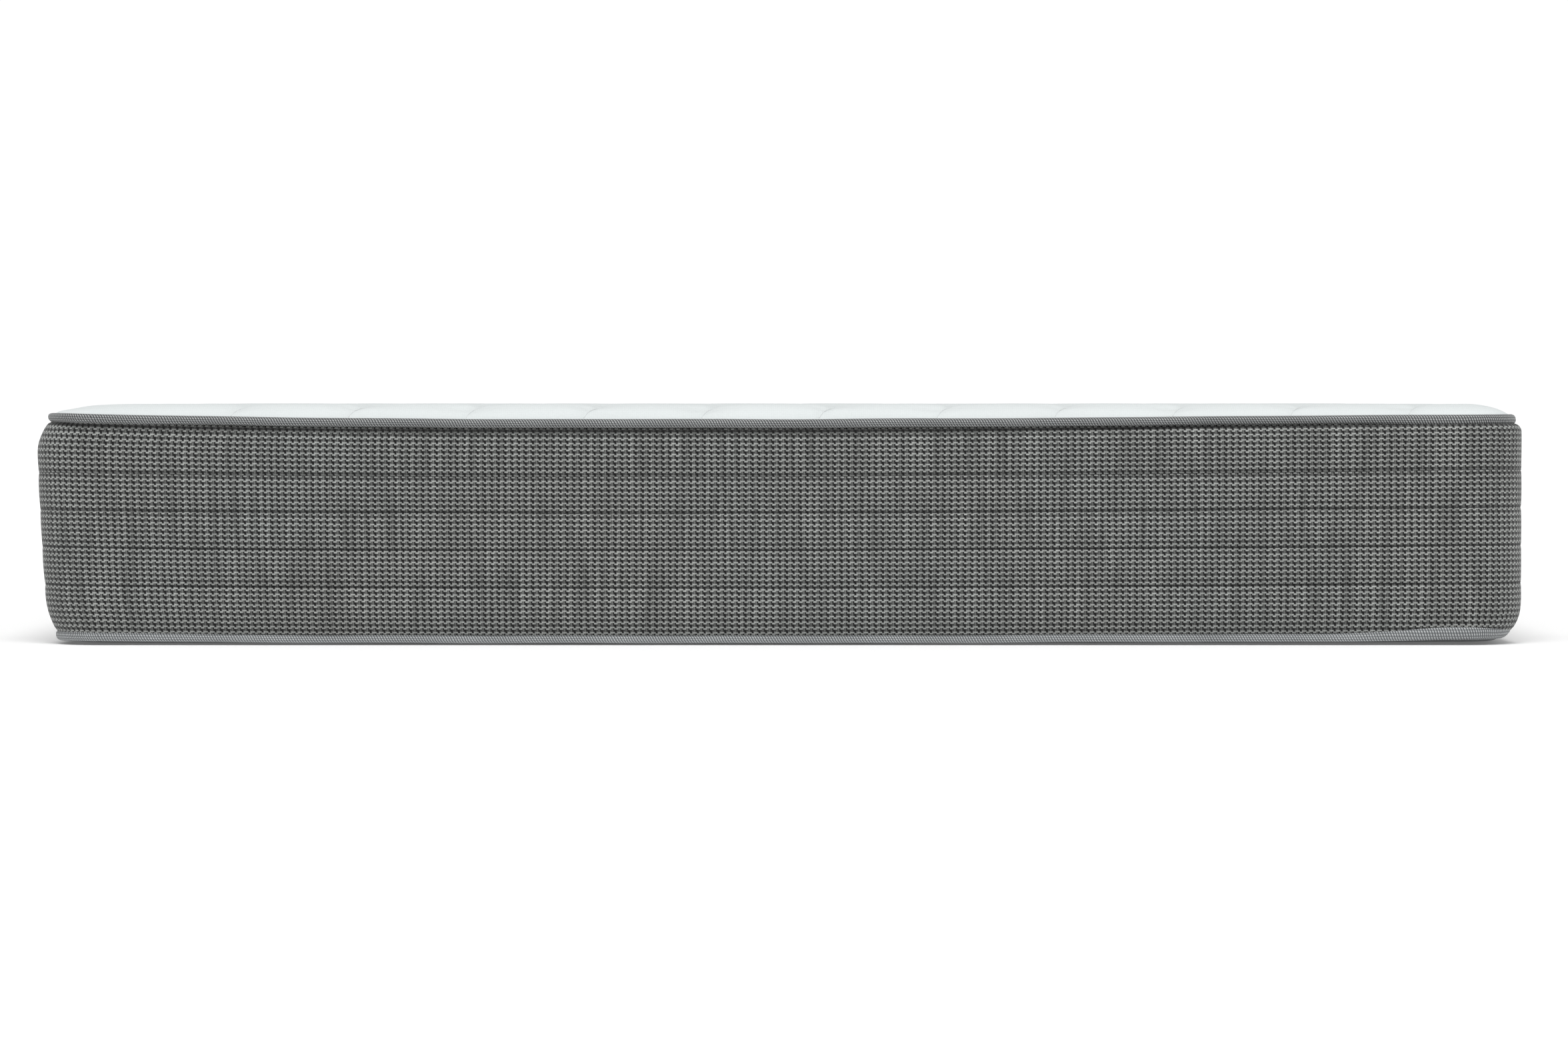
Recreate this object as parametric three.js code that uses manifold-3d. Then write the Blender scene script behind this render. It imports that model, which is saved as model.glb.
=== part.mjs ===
// Memory foam mattress: three glued foam layers in a knitted sleeve, inside a quilted cover whose
// panels and border are gripped and sewn together by a folded tape round the top and bottom edges.
// Millimetres, +Z up. X runs across the bed and Y along it, with the foot end at -Y.
// The origin is under the middle of the mattress, on the surface that it lies on.

import * as THREE from 'three';
import { mergeVertices } from 'three/addons/utils/BufferGeometryUtils.js';
import Module from 'manifold-3d';

const wasm = await Module();
wasm.setup();

// Overall size, over the widest part of the border
const WIDTH = 1600;
const LENGTH = 2000;
const HEIGHT = 260; // from the base up to the flat of the crowned top
const CORNER_RADIUS = 60; // of the upright corners, seen from above

// Clearance between two pieces that touch, where glue or stitches hold them together
const GAP = 0.3;

// Foam layers; the support foam takes the height that the others leave
const MEMORY_FOAM = 50;
const TRANSITION_FOAM = 30;

// Knitted sleeve round the foam layers, and the slit at its head end that a seam closes
const SLEEVE = 1.2;
const SLIT_MARGIN = 100; // left whole at each end of the slit

// Quilted panels: ticking over quilting foam over a non-woven backing
const TICKING = 1.2;
const BACKING = 0.6;
const TOP_QUILT_FOAM = 20;
const BOTTOM_PAD = 4;
const CROWN_RUN = 45; // how far in from the tape each panel reaches its full thickness

// Border: the same three layers, puffed out between the tapes
const BORDER_FABRIC = 1.5;
const BORDER_LINES = 4;
const BORDER_LINE_PITCH = 39.6; // between quilting lines
const BULGE_HEIGHT = 30; // height over which the border swells from the tape to its full width

// Every layer is squeezed to a thin flange where the tape grips it
const FLANGE_FOAM = 1.2;

// Tape: a woven band folded over the flanges like a C that opens inwards
const TAPE_INSET = 4; // of its outer face, from the widest part of the border
const TAPE_DEPTH = 7;
const TAPE_FABRIC = 1.2;

// Sewing thread, and the groove that it pulls into the fabric
const THREAD = 0.7;
const GROOVE_DEPTH = THREAD + GAP;
const GROOVE_WIDTH = THREAD + 2 * GAP;

// Wavy quilting lines of the top panel, evenly spread between two margins
const QUILT_LINES = 11;
const QUILT_LEFT_MARGIN = 202.6;
const QUILT_RIGHT_MARGIN = 131.4;
const WAVE_LENGTH = 506;
const WAVE_SIDE = 30; // sideways swing of a line, which leaves the foot end at its middle
const WAVE_STEPS = 32; // straight steps along a line

// The strips that make the border and the tapes end in a joint at the head end
const JOINT_X = -500;
const JOINT_CUT = GAP;

// Smoothness
const CORNER_STEPS = 6; // straight sides round each corner
const CROWN_STEPS = 4;
const BULGE_STEPS = 3;
const SMALLEST_CORNER = 5;

// Depths in from the widest part of the border, from outside to inside
const tapeInner = TAPE_INSET + TAPE_FABRIC;
const flangeEdge = tapeInner + GAP;
const tapeMouth = TAPE_INSET + TAPE_DEPTH;
const pinch = tapeMouth + GAP; // where cover layers come out of the tape
const borderFoamFace = pinch + BORDER_FABRIC + GAP;
const borderFoamBack = borderFoamFace + FLANGE_FOAM;
const borderBackingFace = borderFoamBack + GAP;
const borderBackingBack = borderBackingFace + BACKING;
const sleeveFace = borderBackingBack + GAP;
const sleeveBack = sleeveFace + SLEEVE;
const foamFace = sleeveBack + GAP;

// Thickness of each panel, outwards from the seam plane in the middle of its tape
const topPanel = GAP / 2 + BACKING + GAP + TOP_QUILT_FOAM + GAP + TICKING;
const bottomPanel = GAP / 2 + BACKING + GAP + BOTTOM_PAD + GAP + TICKING;
const topSeam = HEIGHT - topPanel;
const bottomSeam = bottomPanel;
const panelFlanges = GAP / 2 + BACKING + GAP + FLANGE_FOAM + GAP + TICKING;
const borderFlanges = GAP / 2 + BACKING + GAP + FLANGE_FOAM + GAP + BORDER_FABRIC;
const tapeHeight = panelFlanges + borderFlanges + 2 * (GAP + TAPE_FABRIC);
const borderHeight = topSeam - bottomSeam;

// Foam stack, from the inside of the sleeve's base upwards
const sleeveHeight = borderHeight - GAP;
const stackHeight = sleeveHeight - 2 * (SLEEVE + GAP);
const SUPPORT_FOAM = stackHeight - MEMORY_FOAM - TRANSITION_FOAM - 2 * GAP;

function fabric(color, roughness = 0.9) {
  return new THREE.MeshStandardMaterial({ color, roughness, metalness: 0 });
}

const whiteKnit = fabric('#e9edec');
const houndstooth = fabric('#6a6c6b');
const wovenTape = fabric('#919394');
const greyThread = fabric('#55585a', 0.7);
const whiteThread = fabric('#f0f1ee', 0.7);
const nonWoven = fabric('#f4f3ee');
const quiltFoam = fabric('#f2efe2');
const sleeveKnit = fabric('#f6f4ee');
const memoryFoam = fabric('#f3ead0');
const transitionFoam = fabric('#dfe8ea');
const supportFoam = fabric('#f7f4ea');
const baseCloth = fabric('#d9d9d6');

// The outline of the mattress seen from above, moved in by inset all round.
function plan(inset) {
  const x = WIDTH / 2 - inset;
  const y = LENGTH / 2 - inset;
  const r = Math.max(CORNER_RADIUS - inset, SMALLEST_CORNER);
  const centres = [[x - r, y - r], [r - x, y - r], [r - x, r - y], [x - r, r - y]];
  const points = centres.flatMap(([cx, cy], quarter) => {
    const start = (quarter * Math.PI) / 2;
    const arc = new THREE.EllipseCurve(cx, cy, r, r, start, start + Math.PI / 2);
    return arc.getPoints(CORNER_STEPS);
  });
  return new THREE.Shape(points);
}

function slab(inset, height) {
  return new THREE.ExtrudeGeometry(plan(inset), {
    depth: height,
    bevelEnabled: false,
  });
}

// A level ring: the plan at one inset with the plan at a deeper inset left open.
function band(outerInset, innerInset, height) {
  const shape = plan(outerInset);
  shape.holes.push(plan(innerInset));
  return new THREE.ExtrudeGeometry(shape, {
    depth: height,
    bevelEnabled: false,
  });
}

// A slab whose upper and lower edges are rounded in by side over a height of rise.
function softSlab(inset, height, side, rise, steps) {
  const geometry = new THREE.ExtrudeGeometry(plan(inset), {
    depth: height - 2 * rise,
    bevelThickness: rise,
    bevelSize: side,
    bevelOffset: -side,
    bevelSegments: steps,
  });
  return geometry.translate(0, 0, rise);
}

// A three.js geometry as a solid that can be cut and joined, and back again.
function solid(geometry) {
  const bare = geometry.clone();
  bare.deleteAttribute('normal');
  bare.deleteAttribute('uv');
  const welded = mergeVertices(bare);
  return new wasm.Manifold(new wasm.Mesh({
    numProp: 3,
    vertProperties: welded.attributes.position.array,
    triVerts: Uint32Array.from(welded.index.array),
  }));
}

function geometryOf(body) {
  const mesh = body.getMesh();
  const geometry = new THREE.BufferGeometry();
  geometry.setAttribute('position', new THREE.BufferAttribute(mesh.vertProperties, 3));
  geometry.setIndex(new THREE.BufferAttribute(mesh.triVerts, 1));
  geometry.computeVertexNormals();
  return geometry;
}

function raised(geometry, z) {
  return solid(geometry.translate(0, 0, z));
}

function piece(name, geometry, material, z = 0) {
  const mesh = new THREE.Mesh(geometry, material);
  mesh.name = name;
  mesh.position.z = z;
  return mesh;
}

// Foam layers

function foamStack() {
  const stack = new THREE.Group();
  stack.position.z = bottomSeam + GAP / 2 + SLEEVE + GAP;
  const transitionBase = SUPPORT_FOAM + GAP;
  const memoryBase = transitionBase + TRANSITION_FOAM + GAP;
  stack.add(piece('support_foam', slab(foamFace, SUPPORT_FOAM), supportFoam));
  stack.add(piece('transition_foam', slab(foamFace, TRANSITION_FOAM), transitionFoam, transitionBase));
  stack.add(piece('memory_foam', slab(foamFace, MEMORY_FOAM), memoryFoam, memoryBase));
  return stack;
}

// A sock of thin knit round the foam, with a slit across its head end and the seam that closes it.
function sleeve() {
  const group = new THREE.Group();
  group.position.z = bottomSeam + GAP / 2;
  const slitLength = WIDTH - 2 * SLIT_MARGIN;
  const wallY = LENGTH / 2 - sleeveFace - SLEEVE / 2;
  const slit = new THREE.BoxGeometry(slitLength, 3 * SLEEVE, GROOVE_WIDTH);
  slit.translate(0, wallY, sleeveHeight / 2);
  const shell = solid(slab(sleeveFace, sleeveHeight))
    .subtract(raised(slab(sleeveBack, sleeveHeight - 2 * SLEEVE), SLEEVE))
    .subtract(solid(slit));
  group.add(piece('inner_sleeve', geometryOf(shell), sleeveKnit));
  const seam = new THREE.BoxGeometry(slitLength - 2 * GAP, THREAD, THREAD);
  const thread = piece('sleeve_closing_seam', seam, whiteThread, sleeveHeight / 2);
  thread.position.y = wallY;
  group.add(thread);
  return group;
}

// Quilted panels, built outwards from the seam plane at z = 0

// A solid that stands on z = 0, with an upright edge that then rounds over to a flat top.
function crowned(inset, upright, height, run) {
  const doubled = softSlab(inset, 2 * height, run, height - upright, CROWN_STEPS);
  const lowerHalf = slab(inset - GAP, height + GAP).translate(0, 0, -height - GAP);
  return raised(doubled, -height).subtract(solid(lowerHalf));
}

function quiltedPanel(names, foamThickness, ticking, quiltLines = []) {
  const group = new THREE.Group();
  const backingBase = GAP / 2;
  const foamBase = backingBase + BACKING + GAP;
  group.add(piece(names.backing, slab(flangeEdge, BACKING), nonWoven, backingBase));

  const foamEdge = pinch + TICKING + GAP;
  const foam = solid(slab(flangeEdge, FLANGE_FOAM))
    .add(crowned(foamEdge, FLANGE_FOAM, foamThickness, CROWN_RUN - TICKING - GAP));
  group.add(piece(names.foam, geometryOf(foam), quiltFoam, foamBase));

  const underside = FLANGE_FOAM + GAP; // of the ticking's flange, from the base of the foam
  const clearOfFoam = crowned(pinch + TICKING, underside, foamThickness + GAP, CROWN_RUN - TICKING);
  let cover = raised(band(flangeEdge, foamEdge, TICKING), underside)
    .add(crowned(pinch, underside + TICKING, foamThickness + GAP + TICKING, CROWN_RUN))
    .subtract(clearOfFoam)
    .subtract(raised(slab(0, underside + GAP), -GAP));
  const grooveFloor = foamThickness + GAP + TICKING - GROOVE_DEPTH;
  for (const x of quiltLines) {
    const groove = waveGeometry(GROOVE_WIDTH, 2 * GROOVE_DEPTH);
    cover = cover.subtract(raised(groove.translate(x, 0, 0), grooveFloor));
  }
  group.add(piece(names.ticking, geometryOf(cover), ticking, foamBase));
  return group;
}

// One quilting line, which swings from side to side along the flat of the top panel.
function waveGeometry(width, height, endGap = 0) {
  const reach = LENGTH / 2 - pinch - CROWN_RUN - endGap;
  const left = [];
  const right = [];
  for (let i = 0; i <= WAVE_STEPS; i++) {
    const y = -reach + (2 * reach * i) / WAVE_STEPS;
    const x = WAVE_SIDE * Math.sin((2 * Math.PI * (y + LENGTH / 2)) / WAVE_LENGTH);
    left.push(new THREE.Vector2(x - width / 2, y));
    right.unshift(new THREE.Vector2(x + width / 2, y));
  }
  const shape = new THREE.Shape([...left, ...right]);
  return new THREE.ExtrudeGeometry(shape, { depth: height, bevelEnabled: false });
}

function topPanelGroup() {
  const names = { backing: 'top_quilt_backing', foam: 'top_quilt_foam', ticking: 'top_ticking' };
  const pitch = (WIDTH - QUILT_LEFT_MARGIN - QUILT_RIGHT_MARGIN) / (QUILT_LINES - 1);
  const lines = [];
  for (let i = 0; i < QUILT_LINES; i++) {
    lines.push(-WIDTH / 2 + QUILT_LEFT_MARGIN + i * pitch);
  }
  const group = quiltedPanel(names, TOP_QUILT_FOAM, whiteKnit, lines);
  group.position.z = topSeam;
  lines.forEach((x, i) => {
    const name = `top_quilt_thread_${String(i + 1).padStart(2, '0')}`;
    const thread = piece(name, waveGeometry(THREAD, THREAD, GAP), whiteThread, topPanel - THREAD);
    thread.position.x = x;
    group.add(thread);
  });
  return group;
}

function bottomPanelGroup() {
  const names = { backing: 'bottom_backing', foam: 'bottom_pad', ticking: 'bottom_ticking' };
  const group = quiltedPanel(names, BOTTOM_PAD, baseCloth);
  group.position.z = bottomSeam;
  group.rotation.x = Math.PI;
  return group;
}

// Border

// The upright cut where the ends of a strip meet, at the head end.
function jointCut(width) {
  const reach = 2 * foamFace;
  const cut = new THREE.BoxGeometry(width, reach, 2 * HEIGHT);
  return solid(cut.translate(JOINT_X, LENGTH / 2, 0));
}

// Height of each border quilting line above the bottom seam plane.
function borderLineHeight(i) {
  return borderHeight / 2 + (i - (BORDER_LINES - 1) / 2) * BORDER_LINE_PITCH;
}

function border() {
  const group = new THREE.Group();
  group.position.z = bottomSeam;
  const backingHeight = borderHeight - GAP;
  const foamHeight = backingHeight - 2 * (BACKING + GAP);
  const fabricHeight = foamHeight - 2 * (FLANGE_FOAM + GAP);
  const puffHeight = fabricHeight - 2 * (BORDER_FABRIC + GAP + TAPE_FABRIC);
  const puffBase = (fabricHeight - puffHeight) / 2;

  const backing = solid(band(borderBackingFace, borderBackingBack, backingHeight))
    .add(solid(band(flangeEdge, borderBackingBack, BACKING)))
    .add(raised(band(flangeEdge, borderBackingBack, BACKING), backingHeight - BACKING))
    .subtract(jointCut(JOINT_CUT));
  group.add(piece('border_backing', geometryOf(backing), nonWoven, GAP / 2));

  const foamPuff = softSlab(
    BORDER_FABRIC + GAP, puffHeight, pinch, BULGE_HEIGHT, BULGE_STEPS,
  );
  const foamNeck = slab(borderFoamFace, foamHeight);
  const foam = raised(foamPuff, FLANGE_FOAM + GAP + puffBase)
    .add(solid(foamNeck))
    .add(solid(slab(flangeEdge, FLANGE_FOAM)))
    .add(raised(slab(flangeEdge, FLANGE_FOAM), foamHeight - FLANGE_FOAM))
    .subtract(raised(slab(borderFoamBack, foamHeight + 2 * GAP), -GAP))
    .subtract(jointCut(JOINT_CUT));
  group.add(piece('border_foam', geometryOf(foam), quiltFoam, GAP / 2 + BACKING + GAP));

  const innerPuff = softSlab(BORDER_FABRIC, puffHeight, pinch, BULGE_HEIGHT, BULGE_STEPS);
  let cloth = raised(softSlab(0, puffHeight, pinch, BULGE_HEIGHT, BULGE_STEPS), puffBase)
    .add(solid(slab(pinch, fabricHeight)))
    .add(solid(slab(flangeEdge, BORDER_FABRIC)))
    .add(raised(slab(flangeEdge, BORDER_FABRIC), fabricHeight - BORDER_FABRIC))
    .subtract(raised(innerPuff, puffBase))
    .subtract(raised(slab(pinch + BORDER_FABRIC, fabricHeight + 2 * GAP), -GAP))
    .subtract(jointCut(GROOVE_WIDTH));
  const fabricBase = GAP / 2 + BACKING + GAP + FLANGE_FOAM + GAP;
  for (let i = 0; i < BORDER_LINES; i++) {
    const grooveBase = borderLineHeight(i) - fabricBase - GROOVE_WIDTH / 2;
    cloth = cloth.subtract(raised(band(-GAP, GROOVE_DEPTH, GROOVE_WIDTH), grooveBase));
  }
  group.add(piece('border_fabric', geometryOf(cloth), houndstooth, fabricBase));

  for (let i = 0; i < BORDER_LINES; i++) {
    const thread = solid(band(0, THREAD, THREAD)).subtract(jointCut(GROOVE_WIDTH));
    const base = borderLineHeight(i) - THREAD / 2;
    group.add(piece(`border_quilt_thread_${i + 1}`, geometryOf(thread), greyThread, base));
  }

  const seamHeight = fabricHeight - 2 * (BULGE_HEIGHT + puffBase);
  const endSeam = new THREE.BoxGeometry(THREAD, THREAD, seamHeight);
  const seam = piece('border_end_seam', endSeam, greyThread, borderHeight / 2);
  seam.position.x = JOINT_X;
  seam.position.y = (LENGTH - THREAD) / 2;
  group.add(seam);
  return group;
}

// Edge tapes

function edgeTape(level, seamHeight) {
  const group = new THREE.Group();
  group.position.z = seamHeight;
  const folded = solid(band(TAPE_INSET, tapeMouth, tapeHeight))
    .subtract(raised(band(tapeInner, tapeMouth + GAP, tapeHeight - 2 * TAPE_FABRIC), TAPE_FABRIC))
    .subtract(jointCut(JOINT_CUT));
  const base = -tapeHeight / 2;
  group.add(piece(`${level}_edge_tape`, geometryOf(folded), wovenTape, base));
  const stitches = band(TAPE_INSET - GAP - THREAD, TAPE_INSET - GAP, THREAD);
  group.add(piece(`${level}_tape_thread`, stitches, greyThread, -THREAD / 2));
  return group;
}

const mattress = new THREE.Group();
mattress.add(foamStack());
mattress.add(sleeve());
mattress.add(topPanelGroup());
mattress.add(bottomPanelGroup());
mattress.add(border());
mattress.add(edgeTape('top', topSeam + (panelFlanges - borderFlanges) / 2));
mattress.add(edgeTape('bottom', bottomSeam - (panelFlanges - borderFlanges) / 2));

export default mattress;
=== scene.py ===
"""Looks of the memory foam mattress: quilted white top, houndstooth border, bound edges and foam core."""
import math

import bpy
import numpy as np
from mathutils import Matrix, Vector


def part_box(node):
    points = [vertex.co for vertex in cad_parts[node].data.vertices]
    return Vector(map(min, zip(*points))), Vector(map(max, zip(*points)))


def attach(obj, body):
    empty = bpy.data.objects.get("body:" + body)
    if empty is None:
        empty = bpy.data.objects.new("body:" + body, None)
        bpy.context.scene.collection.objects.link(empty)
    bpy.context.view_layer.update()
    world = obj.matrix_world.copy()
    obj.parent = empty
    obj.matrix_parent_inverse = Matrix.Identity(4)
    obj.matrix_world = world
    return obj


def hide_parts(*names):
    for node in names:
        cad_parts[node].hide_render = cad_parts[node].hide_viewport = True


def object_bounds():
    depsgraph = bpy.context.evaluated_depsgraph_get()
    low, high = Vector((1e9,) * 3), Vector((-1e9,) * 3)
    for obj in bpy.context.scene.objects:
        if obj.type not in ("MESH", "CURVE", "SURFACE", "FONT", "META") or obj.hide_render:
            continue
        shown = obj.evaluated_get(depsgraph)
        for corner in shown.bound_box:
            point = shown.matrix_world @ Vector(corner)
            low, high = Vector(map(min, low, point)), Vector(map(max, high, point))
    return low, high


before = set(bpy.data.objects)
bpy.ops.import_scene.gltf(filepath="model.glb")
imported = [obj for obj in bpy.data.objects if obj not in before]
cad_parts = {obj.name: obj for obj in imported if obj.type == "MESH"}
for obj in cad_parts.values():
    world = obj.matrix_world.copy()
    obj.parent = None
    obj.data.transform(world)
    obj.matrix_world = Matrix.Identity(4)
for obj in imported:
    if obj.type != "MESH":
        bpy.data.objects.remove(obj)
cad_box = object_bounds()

MM = 0.001

# The mattress, from the CAD model
HALF_WIDTH, HALF_LENGTH, HEIGHT = cad_box[1]
CORNER = 60 * MM  # plan radius of the corners
STRAIGHT_X = HALF_WIDTH - CORNER
STRAIGHT_Y = HALF_LENGTH - CORNER
BEND = CORNER * math.pi / 2
# once round the edge: foot end, corner, right side, corner, head end, corner, left side, corner
LEGS = [2 * STRAIGHT_X, BEND, 2 * STRAIGHT_Y, BEND] * 2
LEG_STARTS = np.concatenate([[0], np.cumsum(LEGS)])
GIRTH = LEG_STARTS[-1]
HALF_GIRTH = GIRTH / 2
LEG_CORNERS = np.array(
    [(-1, -1), (1, -1), (1, -1), (1, 1), (1, 1), (-1, 1), (-1, 1), (-1, -1)]
) * (STRAIGHT_X, STRAIGHT_Y)


def middle(node):
    """The middle of a CAD node."""
    low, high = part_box(node)
    return (low + high) / 2


TOP_SEAM = middle("top_edge_tape").z
BOTTOM_SEAM = middle("bottom_edge_tape").z
BORDER_LINES = [middle(f"border_quilt_thread_{i}").z for i in range(1, 5)]
QUILT_LINES = [middle(f"top_quilt_thread_{i:02d}").x for i in range(1, 12)]
END_SEAM_X = middle("border_end_seam").x
low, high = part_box("border_quilt_thread_1")
THREAD = high.z - low.z
low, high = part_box("top_quilt_thread_01")
SWING = (high.x - low.x - THREAD) / 2  # of the top's wavy quilting lines, to each side
WAVE = 506 * MM  # length of one wave of them
STITCH = 6 * MM

# Cloth and seams
BORDER_CLOTH = 1.5 * MM
TICKING = 1.2 * MM
TAPE_HEIGHT = 9.6 * MM
TAPE_DEPTH = 9 * MM
TAPE_CLOTH = 1.2 * MM
ROLL_START = 36 * MM  # the border's foot rolls in below this height
BAND_PUFF = 2.4 * MM  # how far the border stands out between two lines of quilting
CREASE = 1.9 * MM  # how deep a line of quilting is pulled in
OVERHANG = 0.9 * MM  # the cloth hangs over a line from above
UPTURN = 2.8 * MM  # and slopes up to it from below
CROWN_START = 12 * MM  # the top panel starts this far inside the outline
CROWN_RUN = 48 * MM  # and rises over this run
CHANNEL = 5.6 * MM  # depth of a quilting line's valley in the top
CHANNEL_WIDTH = 8 * MM

# Meshes: how many steps each corner takes, and how far apart the stations on the straight sides are
COVER_CORNER = 12
COVER_STEP = 8 * MM
LAYER_CORNER = 6
LAYER_STEP = 20 * MM
CORE_STEP = 40 * MM
LAYER_RIM = 15 * MM  # the top panel's inner layers end this far inside the outline

# How far the foot end's corners are lifted at each height, on a mattress that has been moved about
SLUMP_HEIGHTS = np.array([0, 12, 50, 63, 181, 240, 260]) * MM
LEFT_LIFT = np.array([2.5, 2.8, 3.2, 3.4, 5, 9, 0]) * MM
RIGHT_LIFT = np.array([2.8, 3.2, 4.4, 5, 8, 7, 0]) * MM


def wander(distance, wave, seed):
    """A smooth unevenness, mostly from -1 to 1, that closes on itself once round the mattress."""
    draws = np.random.default_rng(seed)
    total = 0 * distance
    for share in (0.6, 0.85, 1.2, 1.7):
        turns = max(1, round(GIRTH / (wave * share)))
        total = total + np.sin(2 * math.pi * (turns * distance / GIRTH + draws.random()))
    return total / 2.6


def ease(value, start, end):
    """0 before start and 1 after end, smoothly."""
    share = np.clip((value - start) / (end - start), 0, 1)
    return share * share * (3 - 2 * share)


def around(distance):
    """The point CORNER inside the outline and the outward direction, at a distance round the edge from the
    middle of the foot end."""
    travelled = (distance + STRAIGHT_X) % GIRTH
    leg = np.searchsorted(LEG_STARTS, travelled, side="right") - 1
    leg = np.clip(leg, 0, 7)
    along = travelled - LEG_STARTS[leg]
    bending = leg % 2 == 1
    turn = leg // 2 * math.pi / 2 + np.where(bending, along / CORNER, 0)
    along = np.where(bending, 0, along)
    centre = LEG_CORNERS[leg] + np.stack([np.cos(turn) * along, np.sin(turn) * along], -1)
    return centre, np.stack([np.sin(turn), -np.cos(turn)], -1)


def slump(points):
    """Moves nominal points to where the soft, handled mattress has them: corners lifted, the left side
    leaning, the right side swelling, and the top drooping at its left end."""
    x, y, z = np.moveaxis(points, -1, 0)
    left = np.interp(z, SLUMP_HEIGHTS, LEFT_LIFT)
    right = np.interp(z, SLUMP_HEIGHTS, RIGHT_LIFT)
    reach = np.clip(np.abs(x) / HALF_WIDTH, 0, 1) ** np.where(x < 0, 3.5, 1.3)
    reach = reach * np.clip(np.abs(y) / HALF_LENGTH, 0, 1) ** 2.2
    reach = reach * np.where(y > 0, 0.8, 1)  # less at the head end
    lift = reach * np.where(x < 0, left, right)
    to_left = np.clip(-x / HALF_WIDTH, 0, 1) ** 3
    to_right = np.clip(x / HALF_WIDTH, 0, 1) ** 3
    standing = ease(z, 0.02, 0.05) * (1 - ease(z, 0.205, 0.235))
    lean = 10 * MM * np.clip((0.2 - z) / 0.18, 0, 1) ** 1.3
    lean = lean + 2 * MM * ease(z, 0.2, 0.24) - 3 * MM * standing
    swell = 1.6 * MM * ease(z, 0.02, 0.05) * (1 - ease(z, 0.245, 0.26))
    droop = 4 * MM * ease(-x, 0.7, 0.8) * ease(z, 0.245, 0.258)
    return np.stack([x + lean * to_left + swell * to_right, y, z + lift - droop], -1)


def at_foot(distance):
    """1 along the foot end, falling to 0 round its corners."""
    return np.clip(-around(distance)[1][..., 1], 0, 1) ** 3


def hanging_out(distance):
    """1 where the top tape hangs out over the foot end, fading towards its right corner."""
    return at_foot(distance) * (1 - 0.9 * ease(around(distance)[0][..., 0], 0.1, 0.7))


def top_tape_inset(distance):
    """How far the top tape's face is inside the CAD outline."""
    return (6.8 - 9 * hanging_out(distance)) * MM + 0.5 * MM * wander(distance, 0.12, 60)


def bottom_tape_inset(distance):
    """How far the bottom tape's face is inside the CAD outline."""
    sideways = around(distance)[1][..., 0]
    return (10.5 + 3.5 * sideways - 3.5 * at_foot(distance)) * MM + 0.5 * MM * wander(distance, 0.16, 61)


def tucked_under(distance, height):
    """How far the border rolls in towards the bottom tape: least at the foot end, more along the sides."""
    sideways = around(distance)[1][..., 0]
    share = np.clip((ROLL_START - height) / (ROLL_START - 8 * MM), 0, 1)
    behind_tape = (7.5 - 1.5 * sideways - 0.5 * at_foot(distance)) * MM
    return (bottom_tape_inset(distance) + behind_tape) * (1 - np.sqrt(1 - share**2))


def tucked_over(distance, height):
    """How far the border rolls in under the top tape: early on the left side, late on the right."""
    sideways = around(distance)[1][..., 0]
    hang = hanging_out(distance)
    start = (211 + 12 * sideways + 9 * at_foot(distance)) * MM
    share = np.clip((height - start) / (TOP_SEAM - 5.2 * MM - start), 0, 1)
    behind_lip = (3 + 15.5 * hang) * MM
    return (top_tape_inset(distance) + behind_lip) * (1 - np.sqrt(1 - share**2))


def past_corner(distance):
    """How far along the edge a place is from the middle of the nearest corner."""
    along = (distance + STRAIGHT_X) % HALF_GIRTH
    corners = [-BEND / 2, LEG_STARTS[1] + BEND / 2, LEG_STARTS[3] + BEND / 2]
    return np.min([np.abs(along - corner) for corner in corners], 0)


def line_stray(distance, line):
    """How far the border's quilting line of that number strays up from its height."""
    return 0.5 * MM * wander(distance, 0.5, 20 + line)


def border_inset(distance, height):
    """How far the border's face is inside the CAD outline."""
    # round a corner the cloth is stretched, so its puffs and creases all but vanish
    full = 0.2 + 0.8 * ease(past_corner(distance), 0.05, 0.2)
    sharp = 0.3 + 0.7 * ease(past_corner(distance), 0.05, 0.1)
    sharp = sharp * (0.6 + 0.4 * ease(np.abs(around(distance)[0][..., 0]), 0.15, 0.5))
    inset = tucked_under(distance, height) + tucked_over(distance, height)
    seams = [BOTTOM_SEAM] + BORDER_LINES + [TOP_SEAM]
    for i, (low, high) in enumerate(zip(seams[:-1], seams[1:])):
        share = np.clip((height - low) / (high - low), 0, 1)
        puff = BAND_PUFF * full * (1 + 0.22 * wander(distance, 0.3, 10 + i))
        inside = (height >= low) & (height < high)
        inset = inset + np.where(inside, BAND_PUFF * full - puff * 4 * share * (1 - share), 0)
    for i, line in enumerate(BORDER_LINES):
        away = height - line - line_stray(distance, i)
        pull = CREASE * sharp * (1 + 0.3 * wander(distance, 0.05, 30 + i))
        inset = inset + pull * np.exp(-((away / np.where(away > 0, OVERHANG, UPTURN)) ** 2))
        inset = inset + 0.25 * MM * wander(distance, 0.035, 40 + i) * np.exp(-((away / (7 * MM)) ** 2))
    return inset + 0.5 * MM * wander(distance, 0.25, 50) * np.sin(math.pi * height / HEIGHT)


def border_skin(distance, height, depth):
    """Points of the border, depth inside its face."""
    centre, out = around(distance)
    reach = CORNER - border_inset(distance, height) - depth
    flat = centre + out * reach[..., None]
    return slump(np.concatenate([flat, height[..., None]], -1))


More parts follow.
